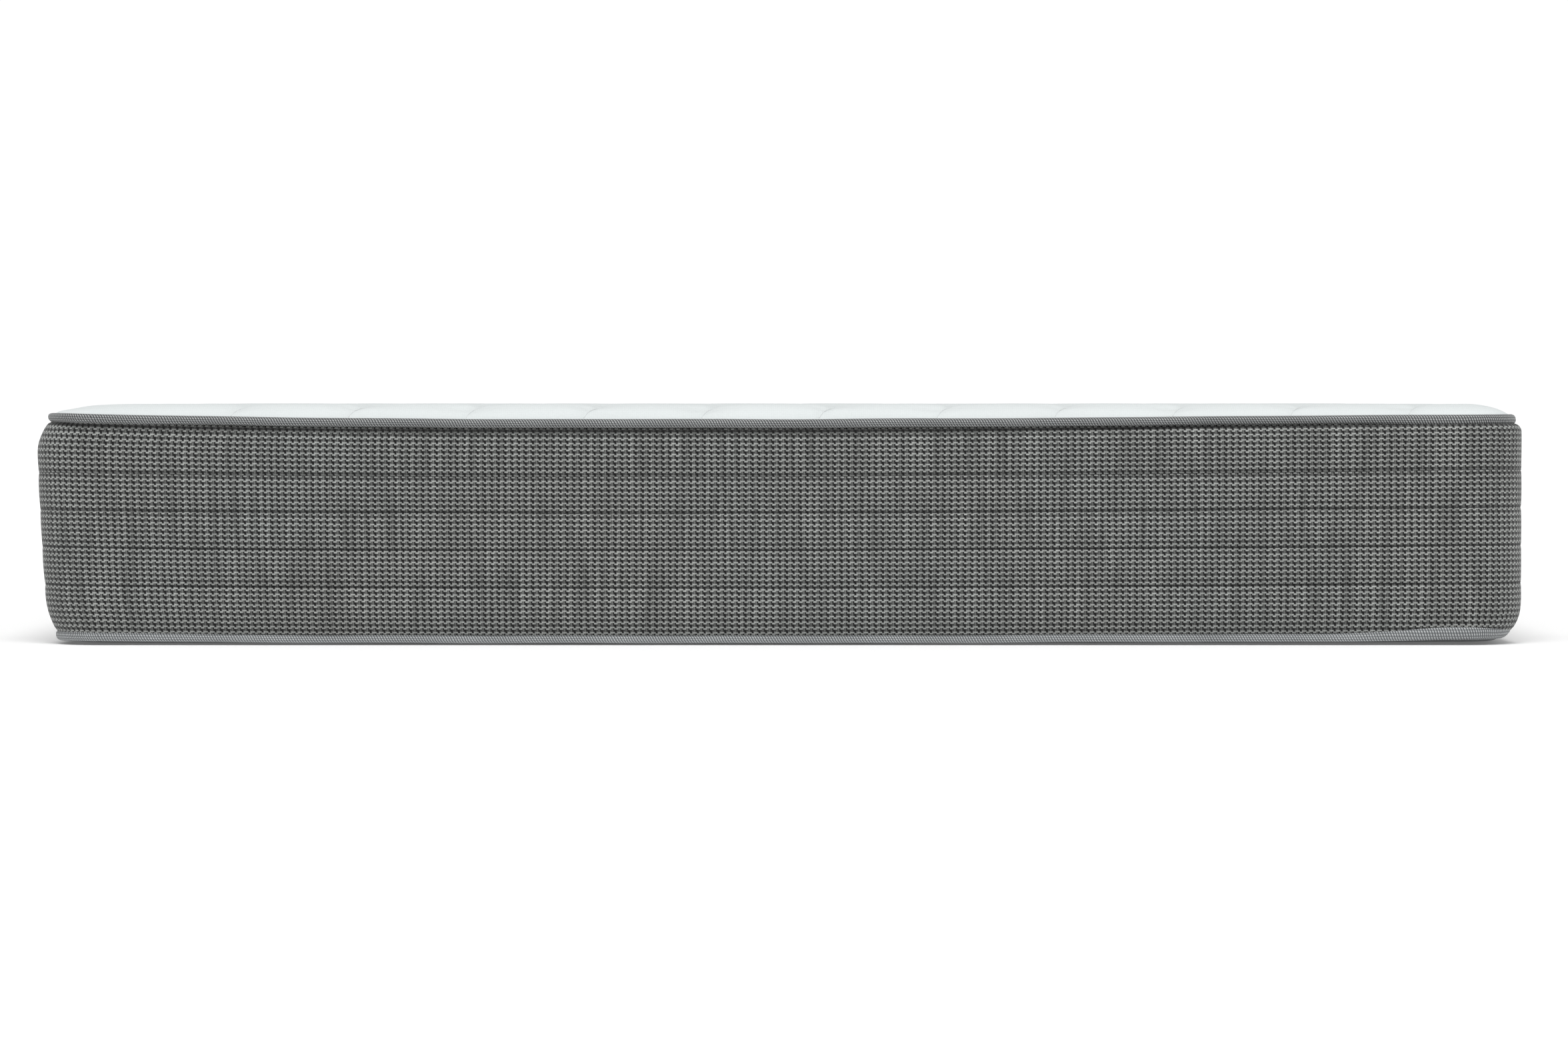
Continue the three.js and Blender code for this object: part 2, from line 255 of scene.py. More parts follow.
def lay_stations(columns, rows, corner_steps):
    """Distances once round the edge that meet the given columns and rows of a panel's middle part."""
    corner = BEND * np.arange(corner_steps) / corner_steps
    straight = [columns[:-1] + STRAIGHT_X, rows[:-1] + STRAIGHT_Y]
    straight += [STRAIGHT_X - columns[:0:-1], STRAIGHT_Y - rows[:0:-1]]
    legs = []
    for side, along in enumerate(straight):
        legs += [LEG_STARTS[2 * side] + along, LEG_STARTS[2 * side + 1] + corner]
    return np.concatenate(legs) - STRAIGHT_X


def new_piece(name, points, faces, material, node):
    """One visible piece of the mattress, in place of the CAD node it stands for."""
    mesh = bpy.data.meshes.new(name)
    mesh.from_pydata(points.reshape(-1, 3).tolist(), [], faces)
    mesh.polygons.foreach_set("use_smooth", [True] * len(mesh.polygons))
    mesh.update()
    piece = bpy.data.objects.new(name, mesh)
    bpy.context.scene.collection.objects.link(piece)
    mesh.materials.append(material)
    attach(piece, "root")
    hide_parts(node)
    return piece


def lay_coordinates(piece, name, corners):
    """Writes one coordinate map, given as (face corner, 2)."""
    layer = piece.data.uv_layers.new(name=name)
    layer.data.foreach_set("uv", np.asarray(corners, np.float32).ravel())


def hoop(name, points, distances, lengths, material, slot, node, open_ends=False, strips=4, face=None):
    """A piece of one closed section, with points (station, section point), once round the edge or along a
    run of it. Its cloth map is in metres. Its other map stacks the run in strips, and gives most of each to
    the section's first steps, as many as face says."""
    runs, around_section = points.shape[:2]
    index = np.arange(runs * around_section).reshape(runs, around_section)
    ahead = np.roll(index, -1, 0)
    columns = runs - 1 if open_ends else runs
    beside = np.roll(index, -1, 1)
    ahead_beside = np.roll(ahead, -1, 1)
    quads = np.stack([index, ahead, ahead_beside, beside], -1)[:columns].reshape(-1, 4)
    faces = quads.tolist()
    if open_ends:
        faces += [index[0].tolist(), index[-1][::-1].tolist()]
    piece = new_piece(name, points, faces, material, node)
    # cloth map: u along the run, v along the section
    step = np.append(np.diff(distances), GIRTH - distances[-1] + distances[0])[:columns]
    u0 = np.asarray(distances)[:columns]
    edges = np.concatenate([[0], np.cumsum(lengths)])
    v0, v1 = edges[:-1], edges[1:]
    u = np.stack([u0, u0 + step, u0 + step, u0], -1)[:, None, :].repeat(around_section, 1)
    v = np.stack([v0, v0, v1, v1], -1)[None].repeat(columns, 0)
    cloth = np.stack([u, v], -1).reshape(-1, 2)
    # stacked map: thin gaps between the strips, and the end caps above them all
    shown = np.zeros(around_section, bool)
    shown[: face or around_section] = True
    weights = np.where(shown, lengths, 0.12 * lengths)
    edges = np.concatenate([[0], np.cumsum(weights)]) / weights.sum()
    strip = (u0 - u0[0]) / (step.sum() / strips) + 1e-6
    strip = np.minimum(strip.astype(int), strips - 1)
    first = np.array([u0[strip == i][0] for i in range(strips)])
    widest = max(u0[strip == i][-1] + step[strip == i][-1] - first[i] for i in range(strips))
    left = 0.004 + 0.992 * (u0 - first[strip]) / widest
    right = left + 0.992 * step / widest
    su = np.stack([left, right, right, left], -1)[:, None, :].repeat(around_section, 1)
    low = (strip[:, None] + 0.01 + 0.98 * edges[None, :-1]) / strips * 0.97
    high = (strip[:, None] + 0.01 + 0.98 * edges[None, 1:]) / strips * 0.97
    sv = np.stack([low, low, high, high], -1)
    stacked = np.stack([su, sv], -1).reshape(-1, 2)
    if open_ends:
        for end in range(2):
            ring = np.linspace(0, 2 * math.pi, around_section, endpoint=False) * (1 - 2 * end)
            cap = np.stack([0.3 + 0.4 * end + 0.01 * np.cos(ring), 0.985 + 0.01 * np.sin(ring)], -1)
            stacked = np.concatenate([stacked, cap])
            cloth = np.concatenate([cloth, cap * MM])
    lay_coordinates(piece, "cloth", cloth)
    lay_coordinates(piece, "OFBake", stacked)
    return piece


def pad(name, rings, columns, rows, corner_steps, floor_z, roof_z, material, node, sway=None):
    """A closed piece as wide as the mattress: rings (ring, station, 3) from its underside's middle part out
    round its edge and back to its upper side's. The first and last rings lie on straight-sided grids."""
    nx, ny = len(columns) - 1, len(rows) - 1
    around_edge = rings.shape[1]
    grid_x, grid_y = np.meshgrid(columns, rows, indexing="ij")
    if sway:
        grid_x = grid_x + sway(grid_x, grid_y)
    grids = [np.stack([grid_x, grid_y, z(grid_x, grid_y)], -1).reshape(-1, 3) for z in (floor_z, roof_z)]
    grids = [slump(grid) for grid in grids]
    cell = np.arange((nx + 1) * (ny + 1)).reshape(nx + 1, ny + 1)
    edge = [cell[:-1, 0], [cell[-1, 0]] * corner_steps, cell[-1, :-1], [cell[-1, -1]] * corner_steps]
    edge += [cell[:0:-1, -1], [cell[0, -1]] * corner_steps, cell[0, :0:-1], [cell[0, 0]] * corner_steps]
    edge = np.concatenate(edge)
    points = np.concatenate([grids[0], rings[1:-1].reshape(-1, 3), grids[1]])
    roof_start = len(points) - cell.size
    ring_index = [edge]
    for ring in range(len(rings) - 2):
        ring_index.append(cell.size + ring * around_edge + np.arange(around_edge))
    ring_index.append(roof_start + edge)
    quads = np.stack([cell[:-1, :-1], cell[1:, :-1], cell[1:, 1:], cell[:-1, 1:]], -1).reshape(-1, 4)
    faces = quads[:, ::-1].tolist() + (quads + roof_start).tolist()
    for low, high in zip(ring_index[:-1], ring_index[1:]):
        for corners in zip(low, np.roll(low, -1), np.roll(high, -1), high):
            faces.append(list(dict.fromkeys(int(c) for c in corners)))
    return new_piece(name, points, [f for f in faces if len(f) > 2], material, node)


def ring_points(distance, insets, heights):
    """Rings of points at each inset and height, before the slump: (ring, station, 3)."""
    centre, out = around(distance)
    rings = []
    for inset, height in zip(insets, heights):
        inset = np.broadcast_to(inset, distance.shape)
        height = np.broadcast_to(height, distance.shape)
        flat = centre + out * (CORNER - inset)[:, None]
        rings.append(np.concatenate([flat, height[:, None]], -1))
    return np.array(rings)


def tube(name, path, material, node, closed=False):
    """Sewing thread: a tube of four sides, rounded off by its shading, along a path of points."""
    along = np.roll(path, -1, 0) - np.roll(path, 1, 0) if closed else np.gradient(path, axis=0)
    along /= np.linalg.norm(along, axis=1)[:, None]
    side = np.cross(along, (0.13, 0.21, 0.97))  # a direction that no thread runs in
    side /= np.linalg.norm(side, axis=1)[:, None]
    up = np.cross(side, along)
    turn = np.linspace(0, 2 * math.pi, 4, endpoint=False)
    circle = side[:, None] * np.cos(turn)[None, :, None] + up[:, None] * np.sin(turn)[None, :, None]
    points = path[:, None] + circle * THREAD / 2
    index = np.arange(len(path) * 4).reshape(len(path), 4)
    ahead, beside = np.roll(index, -1, 0), np.roll(index, -1, 1)
    quads = np.stack([index, beside, np.roll(ahead, -1, 1), ahead], -1)
    faces = quads[: len(path) if closed else -1].reshape(-1, 4).tolist()
    if not closed:
        faces += [index[0][::-1].tolist(), index[-1].tolist()]
    return new_piece(name, points, faces, material, node)


def stitch_rise(distance):
    """0 where a stitch goes in and 1 over its middle."""
    return np.sqrt(np.abs(np.sin(math.pi * distance / STITCH)))


# ---- Finishes ----


def colour(code):
    """An sRGB hex colour as the linear value that the shaders take."""
    parts = [int(code[i : i + 2], 16) / 255 for i in (1, 3, 5)]
    linear = [p / 12.92 if p <= 0.04045 else ((p + 0.055) / 1.055) ** 2.4 for p in parts]
    return (*linear, 1)


def add(tree, kind, inputs=None, **settings):
    """Adds a shader node with its settings, and its inputs as values or as links from other nodes."""
    made = tree.nodes.new("ShaderNode" + kind)
    for name, value in settings.items():
        setattr(made, name, value)
    for socket, value in (inputs or {}).items():
        if isinstance(value, bpy.types.NodeSocket):
            tree.links.new(value, made.inputs[socket])
        else:
            made.inputs[socket].default_value = value
    return made


def finish(name, roughness, sheen=0.0):
    """A new material with what holds all over it: its roughness and sheen, and the IOR of most plastics."""
    material = bpy.data.materials.new(name)
    material.use_nodes = True
    tree = material.node_tree
    surface = tree.nodes["Principled BSDF"]
    surface.inputs["Roughness"].default_value = roughness
    surface.inputs["IOR"].default_value = 1.5
    surface.inputs["Sheen Weight"].default_value = sheen
    surface.inputs["Sheen Roughness"].default_value = 0.5
    surface.inputs["Specular IOR Level"].default_value = 0.3
    return material, tree, surface


def wave_scale(spacing):
    """The scale at which a wave texture's ridges are the spacing apart."""
    return 2 * math.pi / 20 / spacing


def dress(tree, surface, shade, height, depth):
    """Gives the surface its colour, and the relief that goes with it, as deep as given."""
    tree.links.new(shade, surface.inputs["Base Color"])
    bump = add(tree, "Bump", {"Height": height, "Distance": depth, "Strength": 1.0})
    tree.links.new(bump.outputs["Normal"], surface.inputs["Normal"])


# The yarns that show in one repeat of the border cloth, each over the last: place and half size as shares
# of the repeat, slant, shade, and how far it stands up
HOUNDSTOOTH_WIDTH = 7.35 * MM
HOUNDSTOOTH_HEIGHT = 5.8 * MM
HOUNDSTOOTH_YARNS = [
    ("upright grey rib", (0.48, 0.95), (0.08, 0.60), 0.0, "#666766", 0.2),
    ("grey heel", (0.20, 0.09), (0.14, 0.17), 0.0, "#5e5f5f", 0.2),
    ("dark heel", (0.95, 0.25), (0.17, 0.20), 0.0, "#18191a", -0.4),
    ("dark tooth", (0.835, 0.40), (0.145, 0.47), 0.32, "#030303", -0.9),
    ("upper light float", (0.50, 0.94), (0.33, 0.13), 0.0, "#9c9e9d", 0.8),
    ("lower light float", (0.05, 0.68), (0.25, 0.135), 0.0, "#9c9e9d", 0.8),
]


def out_of_true(tree, cloth, scale, detail, reach):
    """The cloth's map, pulled about by up to half the reach, because no cloth lies quite true."""
    drift = add(tree, "TexNoise", {"Vector": cloth, "Scale": scale, "Detail": detail})
    offset = add(tree, "VectorMath", {0: drift.outputs["Color"], 1: (0.5,) * 3}, operation="SUBTRACT")
    pulled = {0: offset.outputs[0], 1: reach, 2: cloth}
    return add(tree, "VectorMath", pulled, operation="MULTIPLY_ADD").outputs[0]


def houndstooth_knit():
    """Circular-knitted polyester jacquard, grey on black: a small houndstooth of soft, slightly fuzzy yarn
    floats, matt with a faint sheen, and uneven from yarn to yarn."""
    material, tree, surface = finish("houndstooth_polyester_knit", 0.82, sheen=0.15)
    cloth = add(tree, "UVMap", uv_map="cloth").outputs["UV"]
    moved = out_of_true(tree, cloth, 60.0, 1.0, (1.6 * MM, 1.0 * MM, 0))
    repeat = (1 / HOUNDSTOOTH_WIDTH, 1 / HOUNDSTOOTH_HEIGHT, 1)
    repeats = add(tree, "VectorMath", {0: moved, 1: repeat}, operation="MULTIPLY")
    ground = add(tree, "TexNoise", {"Vector": cloth, "Scale": 900.0, "Detail": 2.0})
    dark_ground = {0: ground.outputs["Fac"], 6: colour("#232424"), 7: colour("#4a4b4b")}
    shade = add(tree, "Mix", dark_ground, data_type="RGBA").outputs[2]
    height = ground.outputs["Fac"]
    for yarn, (u, v), (half_u, half_v), slant, code, lift in HOUNDSTOOTH_YARNS:
        from_yarn = {0: repeats.outputs[0], 1: (u, v, 0)}
        away = add(tree, "VectorMath", from_yarn, operation="SUBTRACT", label=yarn)
        nearest = {0: away.outputs[0], 1: (0.5,) * 3, 2: (-0.5,) * 3}
        near = add(tree, "VectorMath", nearest, operation="WRAP")
        parts = add(tree, "SeparateXYZ", {0: near.outputs[0]})
        lean = {0: parts.outputs["Y"], 1: slant, 2: parts.outputs["X"]}
        leant = add(tree, "Math", lean, operation="MULTIPLY_ADD")
        mask = 1.0
        for part, half, soft in ((leant.outputs[0], half_u, 0.12), (parts.outputs["Y"], half_v, 0.10)):
            size = add(tree, "Math", {0: part}, operation="ABSOLUTE")
            fade = {0: size.outputs[0], 1: half + soft / 2, 2: half - soft / 2, 3: 0.0, 4: 1.0}
            edge = add(tree, "MapRange", fade, interpolation_type="SMOOTHSTEP")
            mask = add(tree, "Math", {0: edge.outputs[0], 1: mask}, operation="MULTIPLY").outputs[0]
        shade = add(tree, "Mix", {0: mask, 6: shade, 7: colour(code)}, data_type="RGBA").outputs[2]
        height = add(tree, "Math", {0: mask, 1: lift, 2: height}, operation="MULTIPLY_ADD").outputs[0]
    # uneven yarn: streaks up the cloth a few repeats wide, and broad patches of warmer and cooler grey
    streaks = add(tree, "Mapping", {"Vector": cloth, "Scale": (90, 7, 1)})
    streak = add(tree, "TexNoise", {"Vector": streaks.outputs[0], "Scale": 1.0, "Detail": 3.0})
    fine_streaks = add(tree, "Mapping", {"Vector": cloth, "Scale": (330, 12, 1)})
    fine_streak = add(tree, "TexNoise", {"Vector": fine_streaks.outputs[0], "Scale": 1.0, "Detail": 1.0})
    joined = {0: streak.outputs["Fac"], 1: 0.7, 2: fine_streak.outputs["Fac"]}
    both = add(tree, "Math", joined, operation="MULTIPLY_ADD")
    uneven = add(tree, "MapRange", {0: both.outputs[0], 1: 0.6, 2: 1.1, 3: 0.66, 4: 1.16})
    shade = add(tree, "VectorMath", {0: shade, 1: uneven.outputs[0]}, operation="MULTIPLY").outputs[0]
    patches = add(tree, "TexNoise", {"Vector": cloth, "Scale": 5.0, "Detail": 2.0})
    cool_to_warm = {0: patches.outputs["Fac"], 6: (0.97, 1.01, 1.0, 1), 7: (1.03, 1.0, 0.97, 1)}
    tint = add(tree, "Mix", cool_to_warm, data_type="RGBA")
    shade = add(tree, "VectorMath", {0: shade, 1: tint.outputs[2]}, operation="MULTIPLY").outputs[0]
    dress(tree, surface, shade, height, 0.18 * MM)
    return material


def twill_tape(name, light, dark):
    """Woven polyester binding tape: a steep twill, its ribs broken into beads by the weft, smoother and a
    little glossier than the border."""
    material, tree, surface = finish(name, 0.6, sheen=0.1)
    cloth = add(tree, "UVMap", uv_map="cloth").outputs["UV"]
    moved = out_of_true(tree, cloth, 40.0, 2.0, (2.5 * MM, 1.2 * MM, 0))
    ribs = add(tree, "Mapping", {"Vector": moved, "Rotation": (0, 0, math.radians(-28))})
    rib_wave = {"Vector": ribs.outputs[0], "Scale": wave_scale(2.6 * MM)}
    rib = add(tree, "TexWave", rib_wave, bands_direction="X")
    weft_wave = {"Vector": moved, "Scale": wave_scale(2.4 * MM)}
    weft = add(tree, "TexWave", weft_wave, bands_direction="Y")
    bead = add(tree, "MapRange", {0: weft.outputs["Fac"], 1: 0.0, 2: 1.0, 3: 0.25, 4: 1.0})
    relief = add(tree, "Math", {0: bead.outputs[0], 1: rib.outputs["Fac"]}, operation="MULTIPLY")
    shade = add(tree, "Mix", {0: relief.outputs[0], 6: colour(dark), 7: colour(light)}, data_type="RGBA")
    wear = add(tree, "TexNoise", {"Vector": cloth, "Scale": 14.0, "Detail": 3.0})
    uneven = add(tree, "MapRange", {0: wear.outputs["Fac"], 1: 0.3, 2: 0.7, 3: 0.88, 4: 1.1})
    shade = add(tree, "VectorMath", {0: shade.outputs[2], 1: uneven.outputs[0]}, operation="MULTIPLY")
    dress(tree, surface, shade.outputs[0], relief.outputs[0], 0.35 * MM)
    return material


def white_knit():
    """White stretch polyester ticking, circular-knitted: matt, with a fine waffle of 2.2 mm cells and broad
    soft clouds, a shade apart, where it is stretched more or less."""
    material, tree, surface = finish("white_stretch_knit_ticking", 0.85, sheen=0.2)
    place = add(tree, "TexCoord").outputs["Object"]
    cells = add(tree, "TexVoronoi", {"Vector": place, "Scale": 1 / (2.2 * MM), "Randomness": 0.35})
    yarn = add(tree, "TexNoise", {"Vector": place, "Scale": 1800.0, "Detail": 2.0})
    fuzzy = {0: yarn.outputs["Fac"], 1: 0.3, 2: cells.outputs["Distance"]}
    relief = add(tree, "Math", fuzzy, operation="MULTIPLY_ADD")
    soft = add(tree, "TexNoise", {"Vector": place, "Scale": 9.0, "Detail": 3.0})
    clouded = {0: soft.outputs["Fac"], 1: 0.6, 2: relief.outputs[0]}
    blend = add(tree, "Math", clouded, operation="MULTIPLY_ADD")
    level = add(tree, "MapRange", {0: blend.outputs[0], 1: 0.2, 2: 1.3})
    whites = {0: level.outputs[0], 6: colour("#e2e7e7"), 7: colour("#d4d9d9")}
    shade = add(tree, "Mix", whites, data_type="RGBA")
    dress(tree, surface, shade.outputs[2], relief.outputs[0], -0.2 * MM)
    return material


def plain_cloth(name, light, dark, spacing):
    """A plain polyester cloth, woven or bonded: threads crossing at a spacing that is drawn coarser than
    the real one, so that it shows, and mottled between two shades."""
    material, tree, surface = finish(name, 0.85, sheen=0.1)
    place = add(tree, "TexCoord").outputs["Object"]
    threads = []
    for direction in ("X", "Y", "Z"):
        wave = {"Vector": place, "Scale": wave_scale(spacing), "Distortion": 1.5, "Detail Scale": 3.0}
        threads.append(add(tree, "TexWave", wave, bands_direction=direction).outputs["Fac"])
    crossed = add(tree, "Math", {0: threads[0], 1: threads[1]}, operation="ADD").outputs[0]
    crossed = add(tree, "Math", {0: crossed, 1: threads[2]}, operation="ADD").outputs[0]
    mottle = add(tree, "TexNoise", {"Vector": place, "Scale": 30.0, "Detail": 4.0})
    level = add(tree, "Math", {0: crossed, 1: 0.2, 2: mottle.outputs["Fac"]}, operation="MULTIPLY_ADD")
    share = add(tree, "MapRange", {0: level.outputs[0], 1: 0.4, 2: 1.1})
    shade = add(tree, "Mix", {0: share.outputs[0], 6: colour(dark), 7: colour(light)}, data_type="RGBA")
    dress(tree, surface, shade.outputs[2], crossed, 0.1 * MM)
    return material


def open_cell_foam(name, light, dark, cell):
    """Polyurethane foam, cut with a blade: matt, with a faint mottle and open cells, drawn coarser than the
    real ones so that they show."""
    material, tree, surface = finish(name, 0.95)
    place = add(tree, "TexCoord").outputs["Object"]
    pores = add(tree, "TexVoronoi", {"Vector": place, "Scale": 1 / cell})
    mottle = add(tree, "TexNoise", {"Vector": place, "Scale": 12.0, "Detail": 4.0})
    mottled = {0: mottle.outputs["Fac"], 1: 0.7, 2: pores.outputs["Distance"]}
    level = add(tree, "Math", mottled, operation="MULTIPLY_ADD")
    share = add(tree, "MapRange", {0: level.outputs[0], 1: 0.3, 2: 1.2})
    shade = add(tree, "Mix", {0: share.outputs[0], 6: colour(dark), 7: colour(light)}, data_type="RGBA")
    dress(tree, surface, shade.outputs[2], pores.outputs["Distance"], 0.3 * MM)
    return material


def spun_thread(name, light, dark):
    """Spun polyester sewing thread: plies twisted about 1 mm apart, which break the light along it."""
    material, tree, surface = finish(name, 0.55, sheen=0.1)
    place = add(tree, "TexCoord").outputs["Object"]
    ply = {"Vector": place, "Scale": wave_scale(1.0 * MM), "Distortion": 1.0}
    twist = add(tree, "TexWave", ply, bands_direction="DIAGONAL")
    shade = add(tree, "Mix", {0: twist.outputs["Fac"], 6: colour(dark), 7: colour(light)}, data_type="RGBA")
    dress(tree, surface, shade.outputs[2], twist.outputs["Fac"], 0.1 * MM)
    return material


border_knit = houndstooth_knit()
# the top tape's two shades are darker than the bottom tape's: painted shade, for the shade that falls on
# its face; the bottom tape has the tape's own colour
top_tape_weave_painted_shade = twill_tape("polyester_twill_tape_grey_painted_shade", "#bbbdbd", "#333536")
bottom_tape_weave = twill_tape("polyester_twill_tape_light_grey", "#cbcecf", "#56595b")
ticking_knit = white_knit()
base_weave = plain_cloth("anti_slip_base_cloth", "#8f9192", "#6f7173", 1.6 * MM)
bonded_web = plain_cloth("spunbonded_non_woven", "#eceae4", "#d9d7d0", 2.5 * MM)
sleeve_weave = plain_cloth("stretch_sleeve_knit", "#f1f0ec", "#dddbd6", 1.2 * MM)
memory_cells = open_cell_foam("viscoelastic_memory_foam", "#f2edd9", "#ddd4b8", 0.9 * MM)
transition_cells = open_cell_foam("soft_transition_foam", "#dfe6e6", "#c3cfd1", 1.4 * MM)
support_cells = open_cell_foam("firm_support_foam", "#e9e9e6", "#cfd0cd", 1.8 * MM)
wadding_cells = open_cell_foam("quilting_foam", "#f4f3ef", "#e2e0da", 1.2 * MM)
grey_sewing_thread = spun_thread("charcoal_polyester_thread", "#2e2f31", "#191a1b")
tape_sewing_thread = spun_thread("light_grey_polyester_thread", "#8c8e8f", "#6a6c6d")
white_sewing_thread = spun_thread("white_polyester_thread", "#eceeee", "#c9cdcd")


# ---- Border ----

# its rows of points crowd together at the rolled edges and at the quilting lines
crease_steps = np.array([0, 0.7, 1.5, 2.6, 4, 6, 8.7, 12.5, 17]) * MM
border_rows = [8, 10, 12.5, 15.5, 18.5, 22, 25.5, 29, 33, 37, 41]
border_rows += [203, 207, 211, 215, 218, 221, 223.5, 226, 228, 229.5, 230.6, 231.3, 232.2, 233.2, 234.4]
border_rows = np.array(border_rows) * MM
for line in BORDER_LINES:
    border_rows = np.concatenate([border_rows, line + crease_steps, line - crease_steps[1:]])
border_rows = np.sort(border_rows)


def evenly(half, step):
    """Places from -half to half, about a step apart."""
    return np.linspace(-half, half, round(2 * half / step) + 1)


edge_stations = lay_stations(evenly(STRAIGHT_X, COVER_STEP), evenly(STRAIGHT_Y, COVER_STEP), COVER_CORNER)


def border_band(name, run, rows, start, end, material, slot, node, **laid):
    """A layer of the border, from one depth behind its face to another, with points at rows of heights."""
    grid_d, grid_z = np.meshgrid(run, rows, indexing="ij")
    face = border_skin(grid_d, grid_z, start)
    back = border_skin(grid_d, grid_z, end)
    steps = np.diff(rows)
    lengths = np.concatenate([steps, [end - start], steps[::-1], [end - start]])
    points = np.concatenate([face, back[:, ::-1]], 1)
    return hoop(name, points, run, lengths, material, slot, node, **laid)


# the end lengths of the border run round the corners and this far along the sides
end_reach = STRAIGHT_X + BEND + 90 * MM
border_lengths = {
    "border_cloth_foot": (-end_reach, end_reach),
    "border_cloth_right": (end_reach, HALF_GIRTH - end_reach),
    "border_cloth_head": (HALF_GIRTH - end_reach, HALF_GIRTH + end_reach),
    "border_cloth_left": (HALF_GIRTH + end_reach, GIRTH - end_reach),
}
for name, (start, end) in border_lengths.items():
    run = np.linspace(start, end, round((end - start) / COVER_STEP) + 1)
    piece = border_band(
        name, run, border_rows, 0.0, BORDER_CLOTH, border_knit, "houndstooth", "border_fabric",
        open_ends=True, strips=3, face=len(border_rows) - 1,
    )

layer_rows = border_rows[(border_rows > 12 * MM) & (border_rows < 229 * MM)][::2]
layer_run = lay_stations(evenly(STRAIGHT_X, LAYER_STEP), evenly(STRAIGHT_Y, LAYER_STEP), LAYER_CORNER)
border_wadding = border_band(
    "border_wadding", layer_run, layer_rows, 2.3 * MM, 5.2 * MM, wadding_cells, "quilt_foam", "border_foam"
)
border_backing = border_band(
    "border_backing_web", layer_run, layer_rows, 5.5 * MM, 6.1 * MM, bonded_web, "non_woven",
    "border_backing",
)

thread_run = np.arange(0, GIRTH - 1 * MM, STITCH / 3)
for i, line in enumerate(BORDER_LINES):
    height = line + line_stray(thread_run, i)
    sunk = 0.1 * MM - 0.3 * MM * stitch_rise(thread_run)
    tube(
        f"border_quilting_thread_{i + 1}", border_skin(thread_run, height, sunk), grey_sewing_thread,
        f"border_quilt_thread_{i + 1}", closed=True,
    )

# ---- Bound edges ----


def seam_stray(distance, seed):
    """How far a binding seam strays up from its height."""
    return 0.35 * MM * wander(distance, 0.3, seed)


def bound_edge(name, seam, inset, seed, weave, node, roll):
    """The tape folded over the seam: a soft bead that opens inwards, a little wavy along its run. At the
    corners it is drawn wider and rolled to face down or, where roll is negative, up, most on the right."""
    # its section goes round the outer face from the lower lip to the upper, and back inside the fold
    lap = np.radians(np.linspace(-120, 120, 13))
    inward = TAPE_DEPTH * (1 - np.cos(lap)) / 1.5
    up = TAPE_HEIGHT / 2 * np.sign(lap) * np.abs(np.sin(lap)) ** 0.85
    inward = np.concatenate([inward, TAPE_CLOTH + 0.86 * inward[::-1]])
    up = np.concatenate([up, up[::-1] * (1 - 2 * TAPE_CLOTH / TAPE_HEIGHT)])
    centre, out = around(edge_stations)
    cornered = 1 - ease(past_corner(edge_stations), 0.06, 0.2)
    cornered = (cornered * (0.62 + 0.38 * np.sign(centre[:, 0])))[:, None]
    turn = roll * cornered
    wide = up * (1 + 1.1 * abs(roll) * cornered)
    section_in = inward * np.cos(turn) - wide * np.sin(turn)
    section_up = inward * np.sin(turn) + wide * np.cos(turn)
    reach = CORNER - (inset(edge_stations)[:, None] + section_in)
    flat = centre[:, None] + out[:, None] * reach[..., None]
    height = seam + section_up + seam_stray(edge_stations, seed)[:, None]
    points = slump(np.concatenate([flat, height[..., None]], -1))
    lengths = np.hypot(np.diff(inward, append=inward[0]), np.diff(up, append=up[0]))
    piece = hoop(name, points, edge_stations, lengths, weave, "woven_tape", node, strips=9, face=12)


def bound_stitches(name, seam, inset, seed, node):
    """The row of stitches that holds a tape, sunk in the middle of its face."""
    centre, out = around(thread_run)
    raised = 0.2 * MM * stitch_rise(thread_run) - 0.4 * MM
    flat = centre + out * (CORNER - inset(thread_run) + raised)[:, None]
    height = seam + seam_stray(thread_run, seed)
    path = slump(np.concatenate([flat, height[:, None]], -1))
    tube(name, path, tape_sewing_thread, node, closed=True)


bound_edge(
    "top_binding_tape", TOP_SEAM + 0.8 * MM, top_tape_inset, 62, top_tape_weave_painted_shade, "top_edge_tape",
    math.radians(-18),
)
bound_edge(
    "bottom_binding_tape", BOTTOM_SEAM, bottom_tape_inset, 63, bottom_tape_weave, "bottom_edge_tape",
    math.radians(48),
)
bound_stitches("top_binding_stitches", TOP_SEAM, top_tape_inset, 62, "top_tape_thread")
bound_stitches("bottom_binding_stitches", BOTTOM_SEAM, bottom_tape_inset, 63, "bottom_tape_thread")

# ---- Quilted top ----


def sway(x, y):
    """How far the quilting lines swing sideways at a place, dying out beyond the outermost lines."""
    return SWING * np.sin(2 * math.pi * (y + HALF_LENGTH) / WAVE) * (1 - ease(np.abs(x), 0.67, 0.73))


PILLOW_WIDTH = QUILT_LINES[1] - QUILT_LINES[0]
ACROSS = 33  # points over a pillow
ALONG = 101  # points over one wave of it
OVERLAP = 25  # points by which the simulated strip runs past its wave, to join it to the next
PLATEAU = 2.6 * MM  # the rise at which the foam in the quilt stops the cloth


